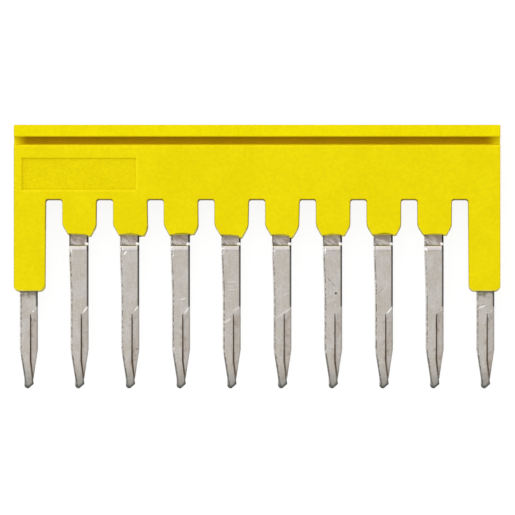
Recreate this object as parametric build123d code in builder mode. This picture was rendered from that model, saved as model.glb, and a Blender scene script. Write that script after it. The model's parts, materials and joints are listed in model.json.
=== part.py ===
from build123d import *
from itertools import pairwise
from math import atan2, tan
import os

# Jumper bar that joins a row of terminal blocks: a plastic moulding around one stamped contact comb.
# The bar lies on its back. X runs along the row of poles, the pins point to -Y and the front faces +Z.
# The origin is the middle of the flat top face, which is pressed to plug the bar in. Lengths are in mm.

# Row of poles
pole_count = 10
pole_pitch = 5.1
end_overhang = 1.5  # from the outermost pin's axis to the end of the moulding

# Moulding, from the top face down
body_thickness = 2.8
rim_height = 1.2
groove_height = 0.83
groove_depth = 1.1
bus_cover = 0.85  # plastic between the groove and the bus bar
bus_floor = 0.84  # plastic between the bus bar and the gaps
tooth_length = 3.58
gap_width = 1.6
gap_corner_radius = 0.25
tooth_bend_radius = 1.2  # where a tooth's side turns in
tooth_corner_radius = 0.15
left_end_length = 1.05  # height over which a tooth's left side narrows at its end
left_end_inset = 0.62
right_end_length = 0.85
right_end_inset = 0.48
shut_off_height = 0.12  # the plastic before a pin ends higher by this than beside it
leg_above_split = 2.17  # the outer legs end this far above the slits in the pins
leg_draft = 0.07  # how far the inner side of an outer leg leans in
leg_corner_radius = 0.6
top_corner_radius = 0.12
edge_bevel = 0.1

# Bare marking recess on the front, at the left end
recess_length = 11.5
recess_height = 3.25
recess_depth = 0.12
recess_from_end = 0.8
recess_below_groove = 1.3

# Contact comb, one sheet of metal
sheet_thickness = 0.8
bend_radius = 0.5  # at the middle of the sheet
tip_bend_radius = 8.0
bus_height = 3.87
bus_corner_radius = 0.4
rollover = 0.1  # bevel that stamping leaves along the front of the pins and of their slits
moulding_gap = 0.02  # room between the comb and the plastic around it

# Pins, from the teeth down. Left and right are as seen from the front
pin_width = 1.8
neck_length = 0.98  # flat stretch below the teeth
step_length = 0.5
step_forward = 0.35
blade_length = 6.42  # from the step to the slit
tine_length = 3.5  # from the slit's top to the taper
taper_length = 2.9
tip_length = 1.03
root_extra = 0.14  # the left side of a pin is wider by this at its root
root_taper_length = 4.5
tip_left = 0.45
tip_right = 0.47
tip_low_point = 0.02  # the tip is lowest this far left of the pin's axis
tip_cut_rise = 0.43
tip_corner_radius = 0.35
tip_bend_above_end = 1.65
tip_set_back = 0.4

# Slit and set-back of the right-hand tine
slit_width = 0.03  # the tines are sheared apart, with hardly any metal taken out
slit_offset = 0.2  # right of the pin's axis
slit_straight_length = 4.65
slit_above_end = 0.62  # the slit runs out of the pin's right side this far above its end
set_back = 0.3
set_back_length = 0.7
set_back_slope = 1.2  # the bend line climbs this much for each millimetre to the right
right_tine_short = 0.35  # the right-hand tine ends this far above the slit's end
right_tine_return = 1.6  # the length over which its end bends forward again
right_tine_rise = 0.12
right_tine_lap = 0.4  # how far its outline is carried up into the blade that it grows from

# Levels, measured along Y from the top face
groove_top = -rim_height
groove_bottom = groove_top - groove_height
bus_top = groove_bottom - bus_cover
bus_bottom = bus_top - bus_height
head_bottom = bus_bottom - bus_floor
tooth_end = head_bottom - tooth_length
step_top = tooth_end - neck_length
step_bottom = step_top - step_length
split_top = step_bottom - blade_length
leg_end = split_top + leg_above_split
taper_top = split_top - tine_length
taper_bottom = taper_top - taper_length
pin_end = taper_bottom - tip_length
slit_end = pin_end + slit_above_end
right_tine_end = slit_end + right_tine_short

# Places along X
first_axis = -(pole_count - 1) * pole_pitch / 2
body_end = -first_axis + end_overhang
leg_side = -first_axis - pole_pitch / 2 + gap_width / 2
half_tooth = (pole_pitch - gap_width) / 2
half_pin = pin_width / 2

back_face = -body_thickness / 2
front_face = body_thickness / 2
blade_front = step_forward + sheet_thickness / 2


def along_the_row():
    """One place on each pin's axis."""
    return GridLocations(pole_pitch, 0, pole_count, 1)


def corner_at(sketch, x, y):
    """The corner of a sketch that lies nearest to a point."""
    return sketch.vertices().sort_by_distance((x, y, 0))[0]


def tooth_outline():
    """One tooth from the front, between the root of the gaps and its narrowed end."""
    with BuildSketch() as tooth:
        with BuildLine():
            Polyline(
                (-half_tooth, head_bottom),
                (half_tooth, head_bottom),
                (half_tooth, tooth_end + right_end_length),
                (half_tooth - right_end_inset, tooth_end),
                (left_end_inset - half_tooth, tooth_end),
                (-half_tooth, tooth_end + left_end_length),
                close=True,
            )
        make_face()
        fillet(tooth.vertices().group_by(Axis.Y)[0], tooth_corner_radius)
        fillet(corner_at(tooth, -half_tooth, tooth_end + left_end_length), tooth_bend_radius)
        fillet(corner_at(tooth, half_tooth, tooth_end + right_end_length), tooth_bend_radius)
    return tooth.sketch


def bus_outline():
    """The hidden bar that carries the pins, from the front."""
    with BuildSketch() as outline:
        with Locations((0, (bus_top + bus_bottom) / 2)):
            RectangleRounded(
                2 * (half_pin + root_extra - first_axis), bus_height, bus_corner_radius
            )
    return outline.sketch


def pin_outline():
    """One pin from the front, both tines together, from inside the bus bar to its tip."""
    bus_middle = (bus_top + bus_bottom) / 2
    with BuildSketch() as outline:
        with BuildLine():
            Polyline(
                (-half_pin - root_extra, bus_middle),
                (-half_pin - root_extra, step_bottom),
                (-half_pin, step_bottom - root_taper_length),
                (-half_pin, taper_top),
                (-tip_left, taper_bottom),
                (-tip_left, pin_end),
                (-tip_low_point, pin_end),
                (tip_right, pin_end + tip_cut_rise),
                (tip_right, taper_bottom),
                (half_pin, taper_top),
                (half_pin, bus_middle),
                close=True,
            )
        make_face()
        fillet(corner_at(outline, -tip_left, pin_end), tip_corner_radius)
    return outline.sketch


def slit_line():
    """The slit's middle line: straight down, then out to the right where the pin tapers."""
    return (
        (slit_offset, split_top),
        (slit_offset, split_top - slit_straight_length),
        (tip_right, slit_end),
    )


def slit():
    """The slit from the front."""
    with BuildSketch() as cut:
        with BuildLine():
            Polyline(*slit_line())
        trace(line_width=slit_width)
    return cut.sketch


def right_tine_field(lap=0):
    """All that lies right of the slit and below the slanted line on which that tine is set back."""
    start, turn, end = slit_line()
    with BuildSketch() as field:
        with BuildLine():
            Polyline(
                (start[0], start[1] + lap),
                turn,
                end,
                (end[0] + pin_width, end[1]),
                (start[0] + pin_width, start[1] + lap + pin_width * set_back_slope),
                close=True,
            )
        make_face()
    return field.sketch


def right_tine_outline():
    """The right-hand tine from the front, carried a little way up into the blade."""
    with BuildSketch() as outline:
        add(pin_outline())
        add(right_tine_field(right_tine_lap), mode=Mode.INTERSECT)
        add(slit(), mode=Mode.SUBTRACT)
        with Locations((0, right_tine_end)):
            Rectangle(pin_width, tip_length, align=(Align.CENTER, Align.MAX), mode=Mode.SUBTRACT)
    return outline.sketch


def beside_the_slit(edge):
    """Whether an edge lies further from its pin's axis than the slit does."""
    along_pitch = (edge.center().X - first_axis + pole_pitch / 2) % pole_pitch
    return abs(along_pitch - pole_pitch / 2) > slit_offset + slit_width


def side_band(points, thickness, radius=bend_radius, x=0):
    """The sheet seen from the side: a band of that thickness along a bent line of (y, z) points."""
    with BuildSketch(Plane.YZ.offset(x)) as band:
        with BuildLine():
            FilletPolyline(*points, radius=radius)
        trace(line_width=thickness)
    return band.sketch


def main_bend(thickness):
    """Side view of the bus bar, the step forward, the blade and the long left-hand tine."""
    return side_band(
        (
            (bus_top + 2 * moulding_gap, 0),
            (step_top, 0),
            (step_bottom, step_forward),
            (pin_end + tip_bend_above_end, step_forward),
            (pin_end - tip_bend_above_end, step_forward - 2 * tip_set_back),
        ),
        thickness,
        radius=(bend_radius, bend_radius, tip_bend_radius),
    )


def set_back_bend():
    """Side view of the right-hand tine where it leaves the blade, beside the slit's top."""
    bend_angle = atan2(set_back, set_back_length)
    bend_top = split_top - bend_radius * tan(bend_angle / 2)
    return side_band(
        (
            (split_top + 2 * right_tine_lap, step_forward),
            (bend_top, step_forward),
            (bend_top - set_back_length, step_forward - set_back),
            (taper_top, step_forward - set_back),
        ),
        sheet_thickness,
        x=slit_offset,
    )


def return_bend():
    """Side view of the right-hand tine's lower part, which bends forward again towards its end."""
    return side_band(
        (
            ((split_top + taper_top) / 2, step_forward - set_back),
            (right_tine_end + right_tine_return, step_forward - set_back),
            (right_tine_end - right_tine_return, step_forward - set_back + 2 * right_tine_rise),
        ),
        sheet_thickness,
        x=slit_offset,
    )


# Room for the comb inside the moulding: the bus bar and the pins down to their slits
with BuildPart() as comb_room:
    with BuildSketch():
        add(bus_outline())
        with along_the_row():
            add(pin_outline())
        offset(amount=moulding_gap, kind=Kind.INTERSECTION)
    extrude(amount=body_thickness, both=True)
    extrude(
        main_bend(sheet_thickness + 2 * moulding_gap), amount=body_end, both=True, mode=Mode.INTERSECT
    )

# The moulding: head, outer legs and teeth from the front, then the groove, the recess and the room
with BuildPart() as insulating_body:
    with BuildSketch() as front:
        with Locations((0, head_bottom / 2)):
            Rectangle(2 * body_end, -head_bottom)
        fillet(front.vertices().group_by(Axis.Y)[-1], top_corner_radius)
        with BuildLine():
            Polyline(
                (leg_side, head_bottom),
                (body_end, head_bottom),
                (body_end, leg_end),
                (leg_side + leg_draft, leg_end),
                close=True,
            )
        make_face()
        mirror(about=Plane.YZ)
        fillet(front.vertices().group_by(Axis.Y)[0], leg_corner_radius)
        with GridLocations(pole_pitch, 0, pole_count - 2, 1):
            add(tooth_outline())
        gap_roots = front.vertices().filter_by_position(
            Axis.Y, head_bottom - bus_floor / 2, head_bottom + bus_floor / 2
        )
        fillet(gap_roots, gap_corner_radius)
    extrude(amount=front_face, both=True)
    with BuildSketch(Plane.YZ):
        with Locations(
            ((groove_top + groove_bottom) / 2, front_face),
            ((groove_top + groove_bottom) / 2, back_face),
        ):
            Rectangle(groove_height, 2 * groove_depth)
    extrude(amount=body_end, both=True, mode=Mode.SUBTRACT)
    faces = insulating_body.faces().filter_by(Axis.Z)
    chamfer((faces.group_by(Axis.Z)[0] + faces.group_by(Axis.Z)[-1]).edges(), edge_bevel)
    with BuildSketch(Plane.XY.offset(front_face)):
        with Locations((recess_from_end - body_end, groove_bottom - recess_below_groove)):
            Rectangle(recess_length, recess_height, align=(Align.MIN, Align.MAX))
    extrude(amount=-recess_depth, mode=Mode.SUBTRACT)
    with BuildSketch(Plane.XY.offset(front_face)):
        with GridLocations(pole_pitch, 0, pole_count - 2, 1):
            with Locations((-half_pin - root_extra, tooth_end)):
                Rectangle(
                    pin_width + root_extra,
                    2 * shut_off_height,
                    align=(Align.MIN, Align.CENTER),
                )
    extrude(amount=-front_face, mode=Mode.SUBTRACT)
    add(comb_room, mode=Mode.SUBTRACT)

# The right-hand tine: set back along a slanted line, then bent forward again towards its end
with BuildPart() as right_tine:
    slant = Vector(1, set_back_slope, 0)
    extrude(set_back_bend(), dir=slant, amount=pin_width * slant.length)
    extrude(return_bend(), amount=pin_width)
    extrude(right_tine_outline(), amount=body_thickness, both=True, mode=Mode.INTERSECT)

# The bevel that shearing leaves on the left-hand tine: a three-sided bar along each run of the slit
with BuildPart() as slit_bevel:
    for start, end in pairwise(slit_line()):
        run = Vector(end) - Vector(start)
        across = Plane(origin=(*start, blade_front), x_dir=(-run.Y, run.X, 0), z_dir=run)
        with BuildSketch(across):
            Polygon(
                (-2 * rollover - slit_width / 2, rollover),
                (0, -rollover - slit_width / 2),
                (0, rollover),
                align=None,
            )
        extrude(amount=run.length)

# The comb: one blank with its pins, formed in one stroke, with the right-hand tines set back
with BuildPart() as contact_comb:
    with BuildSketch():
        add(bus_outline())
        with along_the_row():
            add(pin_outline())
            add(right_tine_field(), mode=Mode.SUBTRACT)
            add(slit(), mode=Mode.SUBTRACT)
    extrude(amount=body_thickness, both=True)
    extrude(main_bend(sheet_thickness), amount=body_end, both=True, mode=Mode.INTERSECT)
    with along_the_row():
        add(right_tine)
    foremost = contact_comb.edges().group_by(Axis.Z)[-1]
    chamfer(foremost.filter_by(Axis.Y).filter_by(beside_the_slit), rollover)
    with along_the_row():
        add(slit_bevel, mode=Mode.SUBTRACT)

insulating_body.part.label = "insulating_body"
contact_comb.part.label = "contact_comb"

os.makedirs("parts", exist_ok=True)
export_step(insulating_body.part, "parts/insulating_body.step")
export_step(contact_comb.part, "parts/contact_comb.step")
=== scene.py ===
# %% [markdown]
# A jumper bar is a strip of yellow plastic with one metal comb moulded into it. The comb joins ten terminals.
# The solids come from the construction model, and this lesson gives them their looks: the rounded edges that
# a mould and a press leave, the grain of the plastic, and the dull, scratched plating of the pins.

# %% Load the construction model
import json
import math
import random

import bmesh
import bpy
import numpy as np
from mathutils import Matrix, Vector


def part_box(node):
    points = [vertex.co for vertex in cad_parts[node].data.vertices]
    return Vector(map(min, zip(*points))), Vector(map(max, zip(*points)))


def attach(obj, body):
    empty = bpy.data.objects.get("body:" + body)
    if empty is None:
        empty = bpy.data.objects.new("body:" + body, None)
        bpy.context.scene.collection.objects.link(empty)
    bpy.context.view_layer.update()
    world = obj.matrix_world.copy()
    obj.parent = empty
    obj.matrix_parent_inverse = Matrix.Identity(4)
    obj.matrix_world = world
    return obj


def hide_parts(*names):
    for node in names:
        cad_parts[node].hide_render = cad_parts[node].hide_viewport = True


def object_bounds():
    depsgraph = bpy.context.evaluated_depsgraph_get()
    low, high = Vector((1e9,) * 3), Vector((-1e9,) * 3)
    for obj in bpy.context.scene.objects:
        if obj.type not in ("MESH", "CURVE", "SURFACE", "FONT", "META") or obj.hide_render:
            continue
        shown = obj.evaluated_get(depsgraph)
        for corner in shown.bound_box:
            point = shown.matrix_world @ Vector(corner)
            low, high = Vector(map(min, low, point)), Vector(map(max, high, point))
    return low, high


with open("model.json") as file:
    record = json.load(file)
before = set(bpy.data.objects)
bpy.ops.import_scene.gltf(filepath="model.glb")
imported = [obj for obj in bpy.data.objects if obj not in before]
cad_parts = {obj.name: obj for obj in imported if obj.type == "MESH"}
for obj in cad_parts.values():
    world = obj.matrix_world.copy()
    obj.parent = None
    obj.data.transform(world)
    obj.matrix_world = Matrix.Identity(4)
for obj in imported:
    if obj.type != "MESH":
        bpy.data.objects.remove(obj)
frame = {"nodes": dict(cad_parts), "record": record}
cad_low, cad_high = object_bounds()
MM = 0.001
print("the bar measures", [round(side / MM, 2) for side in cad_high - cad_low], "mm")

# %% [markdown]
# The picture looks straight down on the bar from far away, so that the walls of the gaps show equally at both
# ends of the row. A long lens does the same here. The picture is as wide as the bar and a little margin.

# %% Camera
picture_width = 51.73 * MM
picture_centre = Vector((0.04 * MM, -13.34 * MM, cad_high.z))
camera_distance = 1.0
film_width = 36

camera_data = bpy.data.cameras.new("camera")
camera_data.sensor_width = film_width
camera_data.lens = film_width * camera_distance / picture_width
camera_data.clip_start = 0.01
camera_data.clip_end = 10
camera = bpy.data.objects.new("camera", camera_data)
camera.location = picture_centre + Vector((0, 0, camera_distance))
bpy.context.scene.collection.objects.link(camera)
bpy.context.scene.camera = camera
bpy.context.scene.view_settings.view_transform = "Standard"
print("lens", round(camera_data.lens), "mm")


# %% [markdown]
# Materials are small networks of nodes, so a few helpers keep them readable. Each helper adds a node or a
# few, sets their values and joins them to what feeds them.

# %% Node helpers
def new_material(name):
    """A material with an empty network."""
    material = bpy.data.materials.new(name)
    material.use_nodes = True
    material.node_tree.nodes.clear()
    return material


def add_node(tree, kind, inputs=None, **settings):
    """One node. Inputs are numbers, colours or the sockets that feed them."""
    node = tree.nodes.new(kind)
    for name, value in settings.items():
        setattr(node, name, value)
    for name, value in (inputs or {}).items():
        if isinstance(value, bpy.types.NodeSocket):
            tree.links.new(value, node.inputs[name])
        else:
            node.inputs[name].default_value = value
    return node


def calculate(tree, operation, *values, clamp=False):
    """The result of one calculation on numbers or sockets."""
    node = add_node(tree, "ShaderNodeMath", dict(enumerate(values)), operation=operation, use_clamp=clamp)
    return node.outputs[0]


def calculate_all(tree, operation, values):
    """The result of one calculation that is carried on from the first value to the last."""
    total = values[0]
    for value in values[1:]:
        total = calculate(tree, operation, total, value)
    return total


def product(tree, *values):
    """All values multiplied. A spot is the product of where it lies across and where it lies up the bar."""
    return calculate_all(tree, "MULTIPLY", values)


def added(tree, *values):
    """All values added."""
    return calculate_all(tree, "ADD", values)


def strongest(tree, *values):
    """The largest of several values."""
    return calculate_all(tree, "MAXIMUM", values)


# %% [markdown]
# The floor is white and catches the soft shadow of the bar. The camera and the metal's reflections see most
# of its white as light of its own, so it looks clean, while the light that falls on the bar stays plain. From
# below it is clear, so that the back of the bar can be looked at too.

# %% Floor
floor_side = 6
floor_gap = 0.01 * MM
floor_glow = 0.9
floor_grey = (0.15, 0.15, 0.15, 1)
WHITE = (1, 1, 1, 1)

floor_material = new_material("white_floor")
tree = floor_material.node_tree
rays = add_node(tree, "ShaderNodeLightPath").outputs
seen = strongest(tree, rays["Is Camera Ray"], rays["Is Glossy Ray"], rays["Is Transmission Ray"])
glow = product(tree, seen, floor_glow)
white_light = add_node(tree, "ShaderNodeEmission", {"Color": WHITE, "Strength": glow}).outputs[0]
white_paint = add_node(tree, "ShaderNodeBsdfDiffuse", {"Color": floor_grey}).outputs[0]
upper_side = add_node(tree, "ShaderNodeAddShader", {0: white_light, 1: white_paint}).outputs[0]
lower_side = add_node(tree, "ShaderNodeBsdfTransparent").outputs[0]
from_below = add_node(tree, "ShaderNodeNewGeometry").outputs["Backfacing"]
one_sided = add_node(tree, "ShaderNodeMixShader", {0: from_below, 1: upper_side, 2: lower_side}).outputs[0]
add_node(tree, "ShaderNodeOutputMaterial", {"Surface": one_sided})

bpy.ops.object.select_all(action="DESELECT")
bpy.ops.mesh.primitive_plane_add(size=floor_side, location=(0, 0, cad_low.z - floor_gap))
floor = bpy.context.object
floor.name = "floor"
floor.data.materials.append(floor_material)
print("the floor lies at", round((cad_low.z - floor_gap) / MM, 2), "mm")


# %% [markdown]
# The light comes from the upper left of the picture. A large soft lamp stands there, and a weaker one hangs
# overhead. Both stay out of the camera's sight.

# %% Lamps
def soft_lamp(name, direction, distance, size, power):
    """A square lamp that faces the bar from a direction."""
    lamp = bpy.data.lights.new(name, "AREA")
    lamp.size = size
    lamp.energy = power
    holder = bpy.data.objects.new(name, lamp)
    holder.location = picture_centre + Vector(direction).normalized() * distance
    holder.rotation_mode = "QUATERNION"
    holder.rotation_quaternion = Vector(direction).to_track_quat("Z", "Y")
    holder.visible_camera = False
    bpy.context.scene.collection.objects.link(holder)
    print(name, "gives", power, "W")


soft_lamp("key_lamp", direction=(-0.35, 0.8, 0.7), distance=0.8, size=1.1, power=4.55)
soft_lamp("top_lamp", direction=(-0.1, 0.15, 1), distance=0.7, size=0.6, power=0.4)

# %% [markdown]
# A product like this is photographed in a tent of pale cloth, and the plating reflects it. So the world is
# such a tent: its walls darken towards the lower right, which is what the pins' right edges reflect, and its
# roof is even. The camera itself sees plain white.

# %% Tent
bright_side = Vector((-0.6, 0.8, 0))
dark_wall, bright_wall = 0.58, 0.75
walls_from, walls_to = -0.7, 0.9
roof_light = 0.61
roof_from, roof_to = 0.1, 0.65
camera_light = 1.0

world = bpy.data.worlds.new("tent")
bpy.context.scene.world = world
world.use_nodes = True
tree = world.node_tree
tree.nodes.clear()
direction = add_node(tree, "ShaderNodeTexCoord").outputs["Generated"]
towards = add_node(tree, "ShaderNodeVectorMath", {0: direction, 1: bright_side}, operation="DOT_PRODUCT")
walls = add_node(tree, "ShaderNodeMapRange",
                 {"Value": towards.outputs["Value"], "From Min": walls_from, "From Max": walls_to,
                  "To Min": dark_wall, "To Max": bright_wall}).outputs[0]
height = add_node(tree, "ShaderNodeSeparateXYZ", {0: direction}).outputs["Z"]
roof_share = add_node(tree, "ShaderNodeMapRange",
                      {"Value": height, "From Min": roof_from, "From Max": roof_to},
                      interpolation_type="SMOOTHSTEP").outputs[0]
tent = add_node(tree, "ShaderNodeMix", {"Factor": roof_share, "A": walls, "B": roof_light}).outputs[0]
camera_ray = add_node(tree, "ShaderNodeLightPath").outputs["Is Camera Ray"]
brightness = add_node(tree, "ShaderNodeMix", {"Factor": camera_ray, "A": tent, "B": camera_light}).outputs[0]
sky = add_node(tree, "ShaderNodeBackground", {"Color": WHITE, "Strength": brightness}).outputs[0]
add_node(tree, "ShaderNodeOutputWorld", {"Surface": sky})
print("the tent's walls go from", dark_wall, "to", bright_wall)


# %% [markdown]
# Both pieces start from the construction model's own surfaces, because their form is right already. The copy
# comes as loose triangles, so it is merged and its flat triangles are joined into whole faces. Then the
# edit-mode tools can work on it as on a mesh that was modelled by hand.

# %% A merged copy of a solid
tiny = 0.002 * MM
flat_angle = math.radians(0.4)


def select_only(piece):
    """Leaves one object selected and active, because an operator acts on all that is selected."""
    bpy.ops.object.select_all(action="DESELECT")
    piece.select_set(True)
    bpy.context.view_layer.objects.active = piece


def merged_copy(node_name, piece_name):
    """A copy of a solid's surface with its triangles joined into whole faces."""
    piece = bpy.data.objects.new(piece_name, frame["nodes"][node_name].data.copy())
    bpy.context.scene.collection.objects.link(piece)
    select_only(piece)
    bpy.ops.mesh.customdata_custom_splitnormals_clear()
    bpy.ops.object.mode_set(mode="EDIT")
    bpy.ops.mesh.select_all(action="SELECT")
    bpy.ops.mesh.remove_doubles(threshold=tiny / 2)
    bpy.ops.mesh.dissolve_limited(angle_limit=flat_angle)
    bpy.ops.object.mode_set(mode="OBJECT")
    piece.data.materials.clear()
    print(piece_name, "starts with", len(piece.data.polygons), "faces")
    return piece


# %% [markdown]
# Marks and edges repeat from pin to pin, so their places are counted from the nearest pin's axis. The record
# of the construction model gives the pitch and the number of pins. Edges are picked by a test on their ends
# and on the faces beside them, as a hand picks them by eye.

# %% Finding places and edges
pin_row = next(mount["dims"] for mount in frame["record"]["mounts"] if mount["name"] == "pin_row")
pole_pitch = pin_row["spacing_x_mm"] * MM
pole_count = pin_row["count"]
first_axis = -(pole_count - 1) * pole_pitch / 2


def from_axis(x):
    """How far right of the nearest pin's axis a place along the bar lies."""
    return (x - first_axis + pole_pitch / 2) % pole_pitch - pole_pitch / 2


def pin_number(x):
    """The number of the nearest pin, counted from the left and from nought."""
    return round((x - first_axis) / pole_pitch)


def select_edges(piece, wanted):
    """Selects the edges that a test picks. It gets the edge's two ends and the normals of its faces."""
    shape = bmesh.new()
    shape.from_mesh(piece.data)
    for part in (*shape.verts, *shape.edges, *shape.faces):
        part.select = False
    for edge in shape.edges:
        ends = [corner.co for corner in edge.verts]
        normals = [face.normal for face in edge.link_faces]
        edge.select = bool(wanted(ends, normals))
    picked = sum(edge.select for edge in shape.edges)
    shape.to_mesh(piece.data)
    shape.free()
    return picked


print(pole_count, "pins,", round(pole_pitch / MM, 2), "mm apart")

# %% [markdown]
# The two halves of the mould pull off to the front and to the back, so each wall of a gap leans in by 0.03 to
# 0.14 mm from the parting line, which runs round the middle of the thickness. From the front that shows as a
# thin dark line round each gap. The copy is cut along the parting line here, and its faces are divided into
# triangles, so that each stays flat when its corners move.

# %% Parting line
moulding = merged_copy("insulating_body", "moulding")
bpy.ops.object.mode_set(mode="EDIT")
bpy.ops.mesh.select_all(action="SELECT")
bpy.ops.mesh.bisect(plane_co=(0, 0, 0), plane_no=(0, 0, 1))
bpy.ops.mesh.select_all(action="SELECT")
bpy.ops.mesh.quads_convert_to_tris(quad_method="BEAUTY", ngon_method="BEAUTY")
bpy.ops.object.mode_set(mode="OBJECT")
print("cut along the parting line, the moulding has", len(moulding.data.polygons), "faces")

# %% [markdown]
# Now the corners of the walls move into the plastic. Where two walls meet, a corner has to move so that both
# walls keep their own lean. That is a small sum with one row for each wall, and least squares also solves it
# where three walls meet or only one is there. The corners of the bevels move too, to make the bevels sharper.

# %% Draft on the walls of the gaps
head_bottom = -7.59 * MM
tooth_end = -11.17 * MM
walls_start = head_bottom + 0.6 * MM
near_front = 0.6 * MM
mould_lean = 0.03 * MM
lean_to_right = 0.05 * MM
lean_downwards = 0.11 * MM
bevel_depth = 0.1 * MM
sharper_by = 0.05 * MM
outer_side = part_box("insulating_body")[1].x
front_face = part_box("insulating_body")[1].z
outer_margin = outer_side - 0.15 * MM
sideways = 0.7
least_slope = 0.3
same_wall = 0.02
nearly_parallel = 0.05


def lean_of(normal):
    """How far a wall that faces this way leans in at the front or back face."""
    return mould_lean + lean_to_right * max(normal.x, 0) + lean_downwards * max(-normal.y, 0)


def wall_shift(normal, place):
    """A wall's shift at a corner: out where the bevel is made sharper, and in by the lean."""
    if abs(place.x) > outer_margin and abs(normal.x) > sideways:
        return 0.0
    on_face = abs(place.z) > front_face - tiny
    return (sharper_by if on_face else 0.0) - lean_of(normal) * abs(place.z) / front_face


def move_with_walls(corner):
    """The move that shifts each wall at a corner by its own amount along its normal."""
    rows, shifts = [], []
    for face in corner.link_faces:
        flat = Vector((face.normal.x, face.normal.y))
        if flat.length <= least_slope:
            continue
        flat.normalize()
        if not any((flat - Vector(row)).length < same_wall for row in rows):
            rows.append(tuple(flat))
            shifts.append(wall_shift(flat, corner.co))
    if not rows:
        return Vector((0, 0, 0))
    move = np.linalg.lstsq(np.array(rows), np.array(shifts), rcond=nearly_parallel)[0]
    return Vector((move[0], move[1], 0))


def is_bevel_side(place):
    """A corner where a bevel meets its wall, away from the bar's two outer sides."""
    return abs(abs(place.z) - front_face + bevel_depth) < tiny and abs(place.x) < outer_margin


shape = bmesh.new()
shape.from_mesh(moulding.data)
moves = {}
for corner in shape.verts:
    if corner.co.y < walls_start and abs(corner.co.z) > near_front:
        moves[corner] = move_with_walls(corner)
for corner, move in moves.items():
    deepen = is_bevel_side(corner.co)
    corner.co += move
    if deepen:
        corner.co.z += math.copysign(sharper_by, corner.co.z)
shape.to_mesh(moulding.data)
shape.free()
longest_move = max(move.length for move in moves.values())
print("moved", len(moves), "corners by at most", round(longest_move / MM, 3), "mm")

# %% [markdown]
# Each tooth ends a little differently: the plastic was squeezed out round its pin and froze in an uneven
# line. The edge in front of each pin is divided, and its points are lifted in a low arch with some roughness,
# while the whole end of the tooth is set askew by listed amounts. The ends of the two legs are lifted evenly.

# %% Uneven ends of the teeth
askew_height = 1.5 * MM
notch_level = tooth_end + 0.12 * MM
notch_reach = 0.15 * MM
notch_half_width = 0.95 * MM
notch_points = 11
rough_half_width = 0.9 * notch_half_width
roughness = 0.02
leg_end = -16.9 * MM
leg_reach = 0.65 * MM
leg_lift = 0.1 * MM
corner_start = 0.5 * MM
places_across = [place * MM for place in (-1.6, -1.2, -0.8, -0.4, 0, 0.4, 0.8, 1.2, 1.6)]
tooth_lifts = (  # at each of these places across its tooth, in mm
    (0.04, 0.07, 0.05, 0.03, 0.01, -0.02, -0.08, -0.12, -0.02),
    (0.01, -0.03, -0.02, 0.07, 0.11, 0.01, -0.11, -0.06, -0.16),
    (-0.03, -0.05, -0.03, 0.10, 0.12, 0.10, 0.02, 0.07, -0.04),
    (-0.04, 0.01, -0.08, -0.06, -0.08, -0.10, -0.16, -0.30, -0.25),
    (-0.16, -0.02, -0.06, 0.00, -0.01, -0.06, -0.13, -0.31, -0.35),
    (-0.15, -0.11, -0.11, 0.01, 0.04, 0.00, -0.04, -0.07, 0.05),
    (-0.16, -0.04, -0.03, 0.08, 0.16, 0.08, -0.01, -0.01, 0.04),
    (-0.23, -0.02, -0.04, 0.02, 0.04, 0.04, 0.00, -0.01, 0.06),
)
right_shifts = (-0.09, 0.20, 0.08, -0.22, -0.26, -0.08, -0.03, -0.05)  # of each tooth's right corner, in mm


def on_notch(place):
    """Whether a place is on the front line where the plastic stopped before a pin."""
    return place.z > near_front and abs(place.y - notch_level) < notch_reach


def is_notch_edge(ends, _normals):
    """The long edge in front of each pin, and not the short ones at its corners."""
    return all(on_notch(end) for end in ends) and abs(ends[0].x - ends[1].x) > notch_half_width


print("edges in front of the pins:", select_edges(moulding, is_notch_edge))
select_only(moulding)
bpy.ops.object.mode_set(mode="EDIT")
bpy.ops.mesh.subdivide(number_cuts=notch_points)
bpy.ops.object.mode_set(mode="OBJECT")

random_lift = random.Random(4)
for corner in moulding.data.vertices:
    place = corner.co
    tooth = pin_number(place.x) - 1
    above_end = place.y - tooth_end
    if above_end < askew_height and 0 <= tooth < len(tooth_lifts):
        across = from_axis(place.x)
        lift = np.interp(across, places_across, tooth_lifts[tooth]) * MM
        share = min(1, (askew_height - above_end) / askew_height)
        if on_notch(place) and abs(across) < rough_half_width:
            lift += random_lift.uniform(-roughness, roughness) * MM
        place.y += lift * share
        if across > corner_start:
            place.x += right_shifts[tooth] * MM * share
    elif place.y < leg_end + leg_reach:
        place.y += leg_lift
print("teeth set askew:", len(tooth_lifts))


# %% [markdown]
# An edge from a mould or a press is never sharp: it is a narrow round. The bevels here are one face wide, so
# they are shaded as if they were round. At one edge of the bevel the shading has the wide face's direction,
# and at the other edge the side's. Custom normals do that and cost no faces.

# %% Shading the bevels
wide_over, side_under = 0.8, 0.35
turns_with = math.cos(math.radians(62))
facet_flatness, rim_flatness = 0.9, 0.65


def kind_of(normal):
    """A face is wide where it looks to the front or back, a side where it is upright, or a bevel between."""
    if abs(normal.z) > wide_over:
        return "wide"
    return "side" if abs(normal.z) < side_under else "bevel"


def joined_normal(normal, neighbours):
    """The mean of a normal's neighbours of one kind that turn from it by less than a bevel does."""
    total = Vector((0, 0, 0))
    for other, area in neighbours:
        if normal.dot(other) > turns_with:
            total += other * area
    return total.normalized() if total.length > 0 else None


def flatter(normal, share):
    """A direction that is turned towards the front by a share."""
    return normal.lerp(Vector((0, 0, 1)), share).normalized()


def shade_facet(normal, _face):
    """The facet of each pin that looks down and to the right is shaded almost as flat as the blade."""
    is_facet = normal.z > 0.75 and normal.x > 0.05 and normal.y < -0.05
    return flatter(normal, facet_flatness) if is_facet else normal


def shade_rim(normal, face):
    """A bevel that looks down or to the right is shaded as a shallow one, so that it stays bright."""
    is_rim = face.z > side_under and (normal.y < -0.3 or normal.x > 0.3)
    return flatter(normal, rim_flatness) if is_rim else normal


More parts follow.
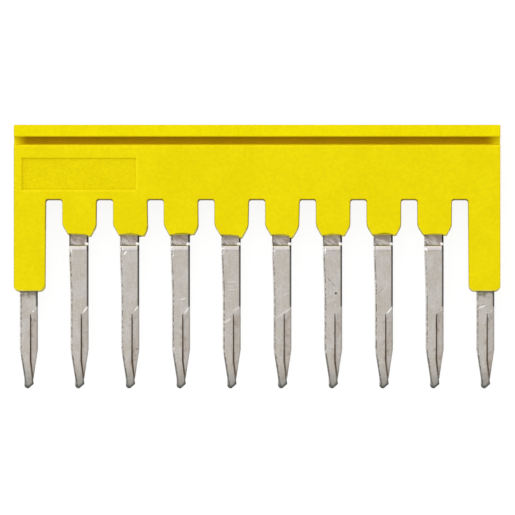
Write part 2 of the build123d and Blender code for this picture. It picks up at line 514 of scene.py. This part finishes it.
def soften_bevels(piece, shade):
    """Turns the bevels' shading from the wide face's at one edge to the side's at the other."""
    select_only(piece)
    bpy.ops.object.shade_smooth()
    mesh = piece.data
    around = [{"wide": [], "side": [], "bevel": []} for _ in mesh.vertices]
    for face in mesh.polygons:
        for corner in face.vertices:
            around[corner][kind_of(face.normal)].append((face.normal.copy(), face.area))
    shading = [None] * len(mesh.loops)
    for face in mesh.polygons:
        kind = kind_of(face.normal)
        order = ("wide", "side", "bevel") if kind == "bevel" else (kind,)
        for loop in face.loop_indices:
            nearby = around[mesh.loops[loop].vertex_index]
            found = (joined_normal(face.normal, nearby[name]) for name in order)
            shading[loop] = shade(next((normal for normal in found if normal), face.normal), face.normal)
    mesh.normals_split_custom_set(shading)
    print(piece.name, "ends with", len(mesh.polygons), "faces")


soften_bevels(moulding, shade_rim)

# %% [markdown]
# The comb was cut and bent in one stroke of a press, and a sheared wall leans. So the left walls of the slits
# are moved over at the back, and no light comes through the slits. The slit of a pin runs straight down from
# its top and turns to the right near the tip.

# %% Walls of the slits
split_top = -19.07 * MM
slit_place = 0.2 * MM
slit_turn = split_top - 4.65 * MM
slit_lean = 0.125
slit_bottom = -25.2 * MM
slit_half_width = 0.015 * MM
slit_back = 0.2 * MM
slit_closing = 0.026 * MM

formed_comb = merged_copy("contact_comb", "formed_comb")


def slit_at(y):
    """How far right of its pin's axis the slit runs at a level."""
    return slit_place + slit_lean * max(0, slit_turn - y)


def is_left_wall(place):
    """Whether a place is on the left wall of a slit, and towards the back."""
    from_slit = from_axis(place.x) - slit_at(place.y)
    at_back = slit_bottom < place.y < split_top + tiny and place.z < slit_back
    return at_back and abs(from_slit + slit_half_width) < tiny


left_walls = [corner.co for corner in formed_comb.data.vertices if is_left_wall(corner.co)]
for place in left_walls:
    place.x += slit_closing
print("corners that close the slits:", len(left_walls))


# %% [markdown]
# Where the punch goes in, the sheet rolls over a little, so every edge of a pin that looks to the front is
# slightly rounded. The solid has that bevel along the straight edges of the blades. The copy gets it along
# the necks, the bends and the tips too.

# %% Rolled edges of the pins
neck_top = tooth_end + 0.3 * MM
rolled_edge = 0.07 * MM
beside_slit = 0.08 * MM
towards_front, towards_side, upright = 0.6, 0.4, 0.3


def is_front_edge(ends, normals):
    """An edge between the front of a pin and its side that has no bevel yet."""
    if len(normals) != 2 or any(end.y > neck_top for end in ends):
        return False
    front, side = sorted(normals, key=lambda normal: -normal.z)
    if front.z < towards_front or abs(front.x) > towards_side or abs(side.z) > upright:
        return False
    return all(end.y > split_top or abs(from_axis(end.x) - slit_at(end.y)) > beside_slit for end in ends)


print("front edges to roll:", select_edges(formed_comb, is_front_edge))
select_only(formed_comb)
bpy.ops.object.mode_set(mode="EDIT")
bpy.ops.mesh.bevel(offset=rolled_edge, segments=1, clamp_overlap=False)
bpy.ops.object.mode_set(mode="OBJECT")
soften_bevels(formed_comb, shade_facet)


# %% [markdown]
# Much of what the eye sees on both pieces belongs to a place: a shadowy groove, a crease, a rubbed edge. So
# the materials are drawn by place. They read where a point lies on the bar, in millimetres, and which way its
# face looks. Each mark is a share between nought and one, and a colour is laid on as far as that share says:
# as paint that covers what is below, or as a tint that multiplies it. All lengths in the cells that draw are
# in millimetres, and levels count down from the top of the bar, below nought.

# %% Drawing by place
def scaled(tree, value, factor):
    """A colour or a place, multiplied by a number."""
    return add_node(tree, "ShaderNodeVectorMath", {0: value, "Scale": factor}, operation="SCALE").outputs[0]


def read_place(tree):
    """The place in metres, its three parts in millimetres, and the three parts of the face's direction."""
    place = add_node(tree, "ShaderNodeTexCoord").outputs["Object"]
    parts = add_node(tree, "ShaderNodeSeparateXYZ", {0: scaled(tree, place, 1 / MM)}).outputs
    direction = add_node(tree, "ShaderNodeNewGeometry").outputs["True Normal"]
    facing = add_node(tree, "ShaderNodeSeparateXYZ", {0: direction}).outputs
    return place, parts, facing


def ramp(tree, value, start, end, low=0.0, high=1.0):
    """Goes smoothly from low to high as a value goes from start to end."""
    node = add_node(tree, "ShaderNodeMapRange",
                    {"Value": value, "From Min": start, "From Max": end, "To Min": low, "To Max": high},
                    interpolation_type="SMOOTHSTEP")
    return node.outputs[0]


def between(tree, value, low, high, soft):
    """One where a value lies between two bounds, nought outside, and soft at both."""
    rising = ramp(tree, value, low - soft, low + soft)
    falling = ramp(tree, value, high - soft, high + soft, 1.0, 0.0)
    return product(tree, rising, falling)


def noise(tree, place, scale, detail=2.0, stretch=(1, 1, 1), turn=0.0):
    """A cloud texture, squeezed by the three numbers of stretch and turned. Its scale is in clouds per mm."""
    mapped = add_node(tree, "ShaderNodeMapping",
                      {"Vector": place, "Scale": [MM / side for side in stretch], "Rotation": (0, 0, turn)},
                      vector_type="TEXTURE")
    clouds = add_node(tree, "ShaderNodeTexNoise",
                      {"Vector": mapped.outputs[0], "Scale": scale, "Detail": detail})
    return clouds.outputs["Fac"]


def mix_colours(tree, share, first, second, blend_type="MIX"):
    """The colour between two. The mixing node keeps its colour sockets at 6 and 7, and its colour at 2."""
    node = add_node(tree, "ShaderNodeMix", {0: share, 6: first, 7: second},
                    data_type="RGBA", blend_type=blend_type)
    return node.outputs[2]


def painted(tree, colour, share, paint):
    """A colour covered by a paint, as far as a share says."""
    return mix_colours(tree, share, colour, (*paint, 1))


def tinted(tree, colour, share, tint):
    """A colour multiplied by a tint, as far as a share says."""
    return mix_colours(tree, share, colour, (*tint, 1), "MULTIPLY")


# %% [markdown]
# The plastic is a glass-filled polyamide: a matte yellow that is slightly cloudy. Its front face gets a
# painted highlight above the groove, where the rim catches the light, and another along a thin lip below the
# groove, which catches it too. Both are bands between two levels, so they are drawn as such and need no edges
# in the mesh.

# %% Yellow plastic and the painted highlights on its rims
front_mm = front_face / MM
half_length_mm = outer_side / MM
rim_from, rim_to = -1.22, -1.06
groove_band = (-1.93, -1.17)
lip_band = (-2.28, -2.06)

yellow = new_material("yellow_plastic_material")
tree = yellow.node_tree
place, (right, up, front), (face_right, face_up, _) = read_place(tree)
from_middle = calculate(tree, "ABSOLUTE", right)
clouds = ramp(tree, noise(tree, place, 0.35), 0.35, 0.65)
colour = mix_colours(tree, clouds, (0.865, 0.71, 0.002, 1), (0.89, 0.74, 0.003, 1))

on_front = ramp(tree, front, front_mm - 0.15, front_mm - 0.05)
# Painted highlights: the rim above the groove and the lip below it catch the light.
rim_highlight = product(tree, ramp(tree, up, rim_from, rim_to), on_front)
colour = tinted(tree, colour, rim_highlight, tint=(1.05, 1.065, 0.5))
lip_highlight = product(tree, between(tree, up, *lip_band, soft=0.04), on_front)
colour = tinted(tree, colour, lip_highlight, tint=(1.06, 1.03, 1.5))
print("the lip is", round(lip_band[1] - lip_band[0], 2), "mm high")

# %% [markdown]
# Light that enters the narrow groove bounces between its yellow walls and turns a deep amber, so the groove
# gets an amber painted shade. Near the open ends of the groove the light gets out again, so there a painted
# brightening keeps the yellow bright.

# %% Painted shade in the groove
in_groove = product(tree, between(tree, up, *groove_band, soft=0.07),
                    ramp(tree, front, front_mm - 0.02, front_mm - 0.12))
near_end = ramp(tree, from_middle, half_length_mm - 1.5, half_length_mm - 0.1)
# Painted light near the open ends, and amber painted shade further in.
colour = tinted(tree, colour, product(tree, in_groove, near_end), tint=(1.1, 1.12, 1.0))
away_from_end = calculate(tree, "SUBTRACT", 1.0, near_end)
colour = tinted(tree, colour, product(tree, in_groove, away_from_end), tint=(0.63, 0.475, 0.5))
print("the groove is", round(groove_band[1] - groove_band[0], 2), "mm high")

# %% [markdown]
# The marking recess was eroded more coarsely in the mould than the rest, so it is a touch darker, most of all
# at its left. It stays bare. Along its lower and right rims, painted shade makes a thin dark line in the
# inner corner, and a painted highlight makes a pale one on the edge outside.

# %% Marking recess
recess_left, recess_right = -23.68, -12.2
recess_bottom, recess_top = -6.54, -3.32

in_recess = product(tree, between(tree, right, recess_left, recess_right, soft=0.04),
                    between(tree, up, recess_bottom, recess_top, soft=0.04),
                    ramp(tree, front, front_mm - 0.3, front_mm - 0.2))
colour = tinted(tree, colour, in_recess, tint=(0.975, 0.96, 0.75))
dark_left = product(tree, in_recess, ramp(tree, right, recess_left + 1.2, recess_left))
colour = tinted(tree, colour, dark_left, tint=(0.95, 0.93, 0.8))

# Painted shade in the inner corner of the lower and right rims, and a painted highlight on their outer edge.
recess_corner_shade = strongest(tree, between(tree, right, recess_right - 0.14, recess_right, soft=0.04),
                     between(tree, up, recess_bottom, recess_bottom + 0.16, soft=0.04))
colour = tinted(tree, colour, product(tree, recess_corner_shade, in_recess), tint=(0.90, 0.91, 0.5))
beside_recess = product(tree, between(tree, right, recess_right + 0.04, recess_right + 0.2, soft=0.04),
                        between(tree, up, recess_bottom, recess_top, soft=0.1))
below_recess = product(tree, between(tree, up, recess_bottom - 0.18, recess_bottom - 0.04, soft=0.04),
                       between(tree, right, recess_left, recess_right, soft=0.1))
recess_edge_highlight = product(tree, strongest(tree, beside_recess, below_recess), on_front)
colour = tinted(tree, colour, recess_edge_highlight, tint=(1.08, 1.10, 3.0))
print("the recess is", round(recess_right - recess_left, 2), "mm long")

# %% [markdown]
# The walls of the gaps stand away from the light, so they get painted shade, and most of all the top of each
# gap, which looks down. The ends of the teeth and legs get a pale painted highlight instead, with small
# painted glints.

# %% Walls of the gaps
tooth_end_mm = tooth_end / MM
head_bottom_mm = head_bottom / MM

in_gaps = product(tree, between(tree, up, tooth_end_mm + 0.6, head_bottom_mm + 0.12, soft=0.08),
                  ramp(tree, from_middle, half_length_mm - 2.0, half_length_mm - 2.2))
# Painted shade on the walls of the gaps, by the way each wall faces.
looks_down = product(tree, ramp(tree, face_up, -0.3, -0.9), in_gaps)
looks_right = product(tree, ramp(tree, face_right, 0.3, 0.6), in_gaps)
looks_left = product(tree, ramp(tree, face_right, -0.3, -0.6), in_gaps)
colour = tinted(tree, colour, looks_down, tint=(0.45, 0.35, 0.9))
colour = tinted(tree, colour, looks_right, tint=(0.75, 0.72, 0.9))
colour = tinted(tree, colour, looks_left, tint=(0.85, 0.87, 1.2))

# A painted highlight with painted glints on the ends of the teeth and legs.
end_highlight = product(tree, ramp(tree, face_up, -0.2, -0.4),
                 ramp(tree, up, head_bottom_mm - 1.0, head_bottom_mm - 1.4))
glints = ramp(tree, noise(tree, place, 2.2), 0.55, 0.68, low=0.3)
colour = painted(tree, colour, product(tree, end_highlight, glints), paint=(0.98, 0.94, 0.25))
print("walls drawn between", round(tooth_end_mm, 2), "and", round(head_bottom_mm, 2), "mm")

# %% [markdown]
# An eroded mould leaves a fine grain, which is both a slight speckle and a very low relief, a hundredth of a
# millimetre high. The plastic has almost no gloss, so its specular level is set close to nought.

# %% Grain and gloss of the plastic
grain_height = 0.01 * MM

speckle = ramp(tree, noise(tree, place, 3.2, detail=3.0), 0.3, 0.7, low=-0.035, high=0.03)
coarse = ramp(tree, noise(tree, place, 6.0, detail=3.0), 0.3, 0.7, low=-0.05, high=0.05)
coarse = product(tree, in_recess, coarse)
colour = scaled(tree, colour, added(tree, speckle, coarse, 1.0))
grain = noise(tree, place, 5.0, detail=3.0)
relief = add_node(tree, "ShaderNodeBump", {"Height": grain, "Distance": grain_height, "Strength": 0.5})
shader = add_node(tree, "ShaderNodeBsdfPrincipled",
                  {"Base Color": colour, "Roughness": 0.55, "Specular IOR Level": 0.02,
                   "Normal": relief.outputs[0]})
add_node(tree, "ShaderNodeOutputMaterial", {"Surface": shader.outputs[0]})
print("the plastic has", len(tree.nodes), "nodes")

# %% [markdown]
# The plating is dull tin over copper. From near it is uneven in many small ways: cloudy, flecked and faintly
# streaked along each pin. One number says how far right of its pin's axis a point lies, and another how far
# up the bar, so that one drawing serves all ten pins.

# %% Plated metal
pitch_mm = pole_pitch / MM

metal = new_material("plated_copper_material")
tree = metal.node_tree
place, (right, up, _), (_, _, face_front) = read_place(tree)
from_first = calculate(tree, "SUBTRACT", right, first_axis / MM)
across = calculate(tree, "WRAP", from_first, pitch_mm / 2, -pitch_mm / 2)
is_front = ramp(tree, face_front, 0.3, 0.5)

clouds = ramp(tree, noise(tree, place, 0.8, detail=3.0), 0.38, 0.62)
colour = mix_colours(tree, clouds, (0.54, 0.50, 0.448, 1), (0.573, 0.543, 0.505, 1))
streaks = noise(tree, place, 1.0, detail=3.0, stretch=(9, 0.7, 9))
streaks = ramp(tree, streaks, 0.3, 0.7, low=-0.045, high=0.045)
flecks = ramp(tree, noise(tree, place, 5.0, detail=4.0), 0.25, 0.75, low=-0.07, high=0.07)
colour = scaled(tree, colour, added(tree, streaks, flecks, 1.0))
print("one drawing repeats every", round(pitch_mm, 2), "mm")

# %% [markdown]
# The necks lie back in the shade of the teeth, so they get a browner painted shade with a slanting, wavy
# border, and curved light and dark smears. Close under each tooth they get a painted shadow. The border is
# where a sum of how far up, how far right and a cloud texture passes nought.

# %% Necks
step_top_mm = -12.15

neck_share = product(tree, ramp(tree, up, step_top_mm - 0.04, step_top_mm + 0.06), is_front)
above_step = calculate(tree, "SUBTRACT", up, step_top_mm)
wavy = ramp(tree, noise(tree, place, 1.3, detail=3.0), 0.3, 0.7, low=-0.45, high=0.45)
slanting = added(tree, calculate(tree, "MULTIPLY_ADD", across, 0.5, above_step), wavy)
# Painted shade on the necks, which lie back behind the teeth.
neck_shade = product(tree, neck_share, ramp(tree, slanting, -0.1, 0.55, low=0.1))
colour = painted(tree, colour, neck_shade, paint=(0.445, 0.375, 0.34))

smears = noise(tree, place, 1.5, detail=4.0, stretch=(1, 3.5, 1), turn=math.radians(-40))
smears = product(tree, ramp(tree, smears, 0.38, 0.62, low=-1.0), neck_share)
light_smears = product(tree, strongest(tree, smears, 0.0), 0.7)
dark_smears = product(tree, calculate(tree, "MINIMUM", smears, 0.0), -0.45)
colour = painted(tree, colour, light_smears, paint=(0.64, 0.60, 0.58))
colour = painted(tree, colour, dark_smears, paint=(0.24, 0.19, 0.175))
# A painted shadow close under each tooth.
painted_shadow = product(tree, ramp(tree, up, step_top_mm + 0.45, step_top_mm + 0.95), neck_share, 0.42)
colour = painted(tree, colour, painted_shadow, paint=(0.39, 0.325, 0.215))
print("necks drawn above", step_top_mm, "mm")

# %% [markdown]
# Where the neck turns into the step, painted shade makes a dark crease, which opens to a dark corner at the
# left. The step itself catches the light, so it gets a painted highlight: a bright band that fades downwards,
# with a line of painted glare along each of its bends and a bright patch of painted glare at its left end.
# Below the band, the lower step and its bend get painted shade.

# %% Creases and steps
# Painted shade in the crease and in the corner at its left.
crease = between(tree, up, step_top_mm - 0.05, step_top_mm + 0.08, soft=0.03)
crease = product(tree, crease, ramp(tree, across, -0.9, 0.6, low=0.6, high=0.38), is_front)
corner_height = ramp(tree, across, -0.95, -0.2, low=step_top_mm + 0.34, high=step_top_mm + 0.02)
corner_shade = product(tree, ramp(tree, calculate(tree, "SUBTRACT", up, corner_height), 0.06, -0.12),
                      between(tree, across, -0.86, -0.1, soft=0.08),
                      ramp(tree, up, step_top_mm - 0.03, step_top_mm + 0.02), 0.62)
colour = painted(tree, colour, strongest(tree, crease, corner_shade), paint=(0.10, 0.095, 0.10))

# A painted highlight on the step, fading downwards.
step_highlight = product(tree, between(tree, up, step_top_mm - 0.38, step_top_mm - 0.04, soft=0.03), is_front)
colour = painted(tree, colour, step_highlight, paint=(0.92, 0.88, 0.95))
fading = product(tree, step_highlight, ramp(tree, up, step_top_mm - 0.08, step_top_mm - 0.26))
colour = tinted(tree, colour, fading, tint=(0.76, 0.75, 0.73))
# Painted shade on the lower step and the bend below it.
lower_step_shade = product(tree, between(tree, up, step_top_mm - 0.50, step_top_mm - 0.29, soft=0.04), is_front)
colour = tinted(tree, colour, lower_step_shade, tint=(0.78, 0.78, 0.78))
lower_bend_shade = product(tree, between(tree, up, step_top_mm - 0.62, step_top_mm - 0.40, soft=0.04), is_front)
colour = tinted(tree, colour, lower_bend_shade, tint=(0.85, 0.85, 0.85))

# Painted glare along the bends and at the left end of the step.
upper_line = product(tree, between(tree, up, step_top_mm - 0.15, step_top_mm - 0.05, soft=0.03), 0.7)
lower_line = product(tree, between(tree, up, step_top_mm - 0.38, step_top_mm - 0.33, soft=0.03), 0.35)
broken = ramp(tree, noise(tree, place, 3.0, detail=3.0), 0.42, 0.58, low=0.15)
left_end_glare = product(tree, between(tree, across, -1.05, -0.74, soft=0.05), broken,
                     ramp(tree, up, step_top_mm - 1.1, step_top_mm - 0.35),
                     ramp(tree, up, step_top_mm, step_top_mm - 0.06))
glare = product(tree, strongest(tree, upper_line, lower_line, left_end_glare), is_front)
colour = painted(tree, colour, glare, paint=(1.0, 0.98, 0.97))
print("steps drawn below", step_top_mm, "mm")

# %% [markdown]
# Marks along a pin's sides follow its outline: the left side spreads a little towards the root, and both
# sides draw in along the taper. So the outline is worked out as a number at each level, and the marks are
# counted from it. The left edge faces the light, so it gets a painted highlight, with dark burrs beside it
# and pale scuffs on it, and along the neck it has a thin dark line.

# %% Left edges of the pins
half_pin_mm = 0.9
root_bottom_mm, root_top_mm = -17.1, -12.7
root_spread = 0.14
taper_top_mm = -22.57
taper_slope = 0.155

spread_share = ramp(tree, up, root_bottom_mm, root_top_mm)
left_side = calculate(tree, "MULTIPLY_ADD", spread_share, -root_spread, -half_pin_mm)
below_taper_top = calculate(tree, "SUBTRACT", taper_top_mm, up)
drawn_in = calculate(tree, "MULTIPLY", below_taper_top, taper_slope, clamp=True)
from_left = calculate(tree, "SUBTRACT", across, added(tree, left_side, drawn_in))
right_side = calculate(tree, "SUBTRACT", half_pin_mm, drawn_in)
from_right = calculate(tree, "SUBTRACT", right_side, across)

# A painted highlight on the left edge, which faces the light.
left_edge_highlight = product(tree, between(tree, from_left, -0.2, 0.1, soft=0.03), is_front)
colour = tinted(tree, colour, left_edge_highlight, tint=(1.45, 1.45, 1.5))
burrs = ramp(tree, noise(tree, place, 4.5, detail=4.0, stretch=(1, 0.8, 1)), 0.44, 0.54, low=0.15)
burred = product(tree, between(tree, from_left, 0.09, 0.18, soft=0.04), burrs, is_front)
colour = painted(tree, colour, burred, paint=(0.15, 0.135, 0.125))
scuffs = ramp(tree, noise(tree, place, 5.5, detail=4.0), 0.56, 0.62)
scuffed = product(tree, between(tree, from_left, -0.2, 0.08, soft=0.03), scuffs, is_front)
colour = painted(tree, colour, scuffed, paint=(0.95, 0.94, 0.95))
neck_line = product(tree, between(tree, from_left, 0.0, 0.1, soft=0.03), neck_share,
                    ramp(tree, noise(tree, place, 0.9, detail=1.0), 0.4, 0.6, low=0.1, high=0.75))
colour = painted(tree, colour, neck_line, paint=(0.13, 0.115, 0.11))
print("pins", 2 * half_pin_mm, "mm wide")

# %% [markdown]
# The two outer pins come out of the legs much lower than the others out of the teeth. There the legs' shadow
# is painted on them in ragged spots that thin out downwards, darkest close under the plastic.

# %% Painted shadow under the legs
leg_edge_mm = (leg_end + leg_lift) / MM + 0.08
outer_from, outer_to = 21.2, 21.4

from_middle = calculate(tree, "ABSOLUTE", right)
on_outer_pins = product(tree, ramp(tree, from_middle, outer_from, outer_to), is_front)
# The legs' shadow, painted in ragged spots and darkest close under the plastic.
ragged = ramp(tree, noise(tree, place, 2.6, detail=4.0), 0.42, 0.6, low=0.1, high=0.75)
ragged = product(tree, ragged, ramp(tree, up, leg_edge_mm - 0.95, leg_edge_mm - 0.25))
under_leg = product(tree, ramp(tree, up, leg_edge_mm - 0.19, leg_edge_mm - 0.12), 0.85)
leg_shadow = product(tree, strongest(tree, ragged, under_leg), on_outer_pins)
colour = painted(tree, colour, leg_shadow, paint=(0.17, 0.15, 0.10))
print("soot drawn below", round(leg_edge_mm, 2), "mm")

# %% [markdown]
# The right edges reflect the dark side of the tent and show the sheared metal, so they get a painted dark
# reflection down to a little above the split, and painted shade that is nearly black from the step upwards.
# Along the tines they are only faintly dark. A small corner just above each step gets a painted glint.

# %% Right edges of the pins
split_top_mm = split_top / MM

# A painted dark reflection on the right edges.
right_strength = ramp(tree, up, split_top_mm + 0.72, split_top_mm + 0.88, low=0.15, high=0.88)
right_edge = between(tree, from_right, -0.3, 0.18, soft=0.03)
colour = painted(tree, colour, product(tree, right_edge, right_strength), paint=(0.085, 0.075, 0.07))
# Painted shade, nearly black, on the right edge of the neck.
near_step = product(tree, right_edge, ramp(tree, up, step_top_mm - 0.7, step_top_mm - 0.3), 0.7)
colour = painted(tree, colour, near_step, paint=(0.012, 0.01, 0.01))
# A painted glint on the corner just above the step.
corner_glint = product(tree, between(tree, across, 0.56, 1.2, soft=0.04),
                       between(tree, up, step_top_mm + 0.02, step_top_mm + 0.31, soft=0.04))
colour = painted(tree, colour, corner_glint, paint=(1.0, 1.0, 1.0))
print("right edges dark above", round(split_top_mm + 0.8, 2), "mm")

# %% [markdown]
# The slit is a dark, brownish line down the pin: painted shade where the left tine shades the set-back one,
# together with the dark oxide of the sheared cut. It is drawn with the same straight run and turn as the
# walls of the solid. It gets wider towards the tip, because the distance from it is counted shorter there.
# Round it the plating is stained, and the right-hand tine is set back, so it gets a painted shade that makes
# it a little darker than the left one.

# %% Slits and tines
opening_from, opening_to = -21.5, -23.8

below_turn = calculate(tree, "SUBTRACT", slit_turn / MM, up)
slit_now = calculate(tree, "MULTIPLY_ADD", strongest(tree, 0.0, below_turn), slit_lean, slit_place / MM)
from_slit = calculate(tree, "SUBTRACT", across, slit_now)
below_split = ramp(tree, up, split_top_mm, split_top_mm - 0.5)

blotches = ramp(tree, noise(tree, place, 1.4, detail=3.0), 0.5, 0.7)
stain = product(tree, between(tree, from_slit, -0.3, 0.5, soft=0.2), blotches, below_split, is_front)
colour = tinted(tree, colour, stain, tint=(0.80, 0.72, 0.66))
# Painted shade on the right-hand tine, which is set back.
right_tine_shade = product(tree, ramp(tree, from_slit, 0.05, 0.12),
                        ramp(tree, up, split_top_mm + 0.2, split_top_mm - 0.2), is_front)
colour = tinted(tree, colour, right_tine_shade, tint=(0.945, 0.93, 0.93))
# The slit line: painted shade with the dark oxide of the cut.
shortened = product(tree, from_slit, ramp(tree, up, opening_from, opening_to, low=1.0, high=0.72))
slit_line = product(tree, between(tree, shortened, -0.085, 0.05, soft=0.025), below_split)
colour = painted(tree, colour, slit_line, paint=(0.185, 0.14, 0.095))
print("slits start at", round(split_top_mm, 2), "mm")

# %% [markdown]
# The tips bend back from the light, so they get a grey painted shade, darkest along the slanting cut at the
# very end. A thin dark outline runs up both sides of the taper from there.

# %% Tips
tip_end_mm = -26.5
tip_middle = -0.15
grey_from, grey_to = -24.4, -26.3
left_line_from, left_line_to = -22.7, -23.4
right_line_from, right_line_to = -24.0, -24.8

# Painted shade on the tips, which bend back from the light.
tip_shade = ramp(tree, up, grey_from, grey_to, high=0.34)
colour = painted(tree, colour, tip_shade, paint=(0.33, 0.335, 0.31))
right_cut = product(tree, strongest(tree, 0.0, across), 0.85)
left_of_middle = calculate(tree, "SUBTRACT", tip_middle, across)
left_cut = product(tree, strongest(tree, 0.0, left_of_middle), 0.6)
above_tip = calculate(tree, "SUBTRACT", up, tip_end_mm)
above_cut = calculate(tree, "SUBTRACT", above_tip, added(tree, right_cut, left_cut))
crescent = ramp(tree, above_cut, 0.48, 0.1, high=0.9)
left_line = product(tree, between(tree, from_left, 0.01, 0.13, soft=0.03),
                    ramp(tree, up, left_line_from, left_line_to, high=0.7))
right_line = product(tree, between(tree, from_right, -0.1, 0.08, soft=0.03),
                     ramp(tree, up, right_line_from, right_line_to, high=0.6))
outline = product(tree, strongest(tree, crescent, left_line, right_line), is_front)
colour = painted(tree, colour, outline, paint=(0.10, 0.10, 0.092))
print("tips end at", tip_end_mm, "mm")

# %% [markdown]
# Handling left a few scratches and pits, each on its own pin, and each pin's slanting bend above its slit,
# burnished by the press, gets a bright stroke of painted highlight. Every stroke is a thin ellipse: a Mapping
# node moves and turns the place so that the stroke's middle is the origin and its ends lie nearly one unit
# away, and a spherical gradient does the rest. The rows say which pin it is on and where it starts and ends.

# %% Scratches and pits
strokes = (  # pin, start across and up, end across and up, width, strength. Dark strokes are below nought
    (0, 0.35, -18.85, 0.75, -18.35, 0.10, 0.5),
    (0, 0.36, -18.84, 0.48, -18.70, 0.16, 0.9),
    (0, 0.20, -19.30, 0.38, -19.90, 0.14, -0.5),
    (0, 0.45, -19.50, 0.80, -19.90, 0.10, -0.4),
    (1, 0.30, -18.98, 0.84, -18.20, 0.16, 1.0),
    (2, -0.68, -13.12, -0.34, -12.66, 0.17, 1.0),
    (2, 0.36, -18.82, 0.84, -18.12, 0.13, 0.8),
    (2, 0.60, -22.45, 0.72, -22.65, 0.20, -0.6),
    (3, -0.86, -13.28, -0.72, -13.02, 0.16, 0.9),
    (3, -0.10, -17.60, 0.56, -17.42, 0.12, 0.7),
    (3, 0.34, -18.98, 0.78, -18.34, 0.15, 0.9),
    (3, -0.85, -22.70, -0.60, -22.35, 0.11, 0.7),
    (4, -0.65, -15.80, 0.42, -15.78, 0.09, 0.45),
    (4, -0.60, -16.20, 0.30, -16.22, 0.09, 0.4),
    (4, -0.50, -16.62, 0.42, -16.55, 0.09, 0.45),
    (4, 0.05, -18.80, 0.82, -18.28, 0.11, 0.5),
    (4, -0.85, -19.95, -0.05, -19.45, 0.40, 0.35),
    (5, -0.80, -19.60, 0.84, -18.34, 0.12, 0.42),
    (5, 0.25, -18.98, 0.82, -18.42, 0.09, 0.5),
    (5, -0.70, -16.90, -0.10, -16.20, 0.09, 0.3),
    (5, 0.00, -17.20, 0.70, -16.80, 0.08, 0.3),
    (6, 0.16, -16.89, 0.38, -16.98, 0.30, -1.0),
    (6, -0.66, -15.28, -0.18, -15.84, 0.09, -0.7),
    (6, -0.22, -15.80, 0.24, -16.26, 0.09, -0.7),
    (6, -0.70, -18.00, 0.20, -17.30, 0.08, 0.3),
    (6, 0.55, -18.60, 0.82, -18.30, 0.09, 0.25),
    (7, -0.90, -17.90, -0.55, -17.90, 0.10, 0.6),
    (7, -0.45, -17.10, 0.40, -16.20, 0.08, 0.35),
    (7, 0.22, -19.08, 0.84, -18.30, 0.16, 1.0),
    (8, 0.30, -18.95, 0.80, -18.40, 0.10, 0.35),
    (8, 0.45, -18.30, 0.62, -19.30, 0.09, -0.35),
    (8, 0.25, -19.40, 0.50, -19.95, 0.12, -0.4),
    (8, 0.16, -19.70, 0.20, -20.70, 0.28, -0.4),
    (8, 0.40, -18.70, 0.20, -19.50, 0.16, -0.35),
    (9, -0.82, -18.46, 0.08, -18.14, 0.15, 0.9),
    (9, -0.36, -18.16, -0.18, -18.04, 0.08, -0.6),
    (9, 0.35, -19.00, 0.75, -18.50, 0.10, 0.4),
    (9, 0.25, -19.30, 0.42, -19.90, 0.14, -0.5),
    (9, 0.50, -18.90, 0.60, -19.70, 0.09, -0.3),
)
stroke_depth = 10 * MM
overshoot = 1.1


def stroke_share(tree, place, pin, start, end, width):
    """One inside a thin ellipse on a pin's front, and nought outside."""
    axis = first_axis + pin * pole_pitch
    middle = ((start[0] + end[0]) / 2 * MM + axis, (start[1] + end[1]) / 2 * MM, 0)
    half_length = math.dist(start, end) / 2 * MM
    angle = math.atan2(end[1] - start[1], end[0] - start[0])
    mapped = add_node(tree, "ShaderNodeMapping",
                      {"Vector": place, "Location": middle, "Rotation": (0, 0, angle),
                       "Scale": (half_length * overshoot, width / 2 * MM, stroke_depth)},
                      vector_type="TEXTURE")
    glow = add_node(tree, "ShaderNodeTexGradient", {"Vector": mapped.outputs[0]}, gradient_type="SPHERICAL")
    return ramp(tree, glow.outputs["Fac"], 0.0, 0.5)


scratches_and_glare, dented = 0.0, 0.0
for pin, *ends, width, strength in strokes:
    share = product(tree, stroke_share(tree, place, pin, ends[:2], ends[2:], width), abs(strength))
    if strength > 0:
        scratches_and_glare = strongest(tree, scratches_and_glare, share)
    else:
        dented = strongest(tree, dented, share)
# Bright scratches, and the painted highlight along each pin's slanting bend.
colour = painted(tree, colour, product(tree, scratches_and_glare, is_front), paint=(1.0, 0.98, 0.95))
colour = painted(tree, colour, product(tree, dented, is_front), paint=(0.05, 0.035, 0.03))
print("strokes:", len(strokes))

# %% [markdown]
# The plating is a metal with a soft gloss. It mirrors the tent, so it can't look much paler than the tent
# does. The bright band on the steps is paler, so there the surface is partly an ordinary pale one, which the
# key lamp lights up.

# %% Gloss of the plating
pale_share = product(tree, strongest(tree, step_highlight, glare), 0.6)
metal_share = calculate(tree, "SUBTRACT", 1.0, pale_share)
shader = add_node(tree, "ShaderNodeBsdfPrincipled",
                  {"Base Color": colour, "Metallic": metal_share, "Roughness": 0.5})
add_node(tree, "ShaderNodeOutputMaterial", {"Surface": shader.outputs[0]})
print("the plating has", len(tree.nodes), "nodes")

# %% [markdown]
# Each finished piece gets its material and stands in for its solid, which stays behind for the tests, hidden.
# The bar has no moving parts, so both pieces ride on the one body, and each gets its own material.

# %% Handing the pieces over
for piece, node_name, material, slot in (
    (moulding, "insulating_body", yellow, "yellow_plastic"),
    (formed_comb, "contact_comb", metal, "plated_copper"),
):
    piece.data.materials.append(material)
    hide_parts(node_name)
    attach(piece, "root")
    print(piece.name, "stands in for", node_name)
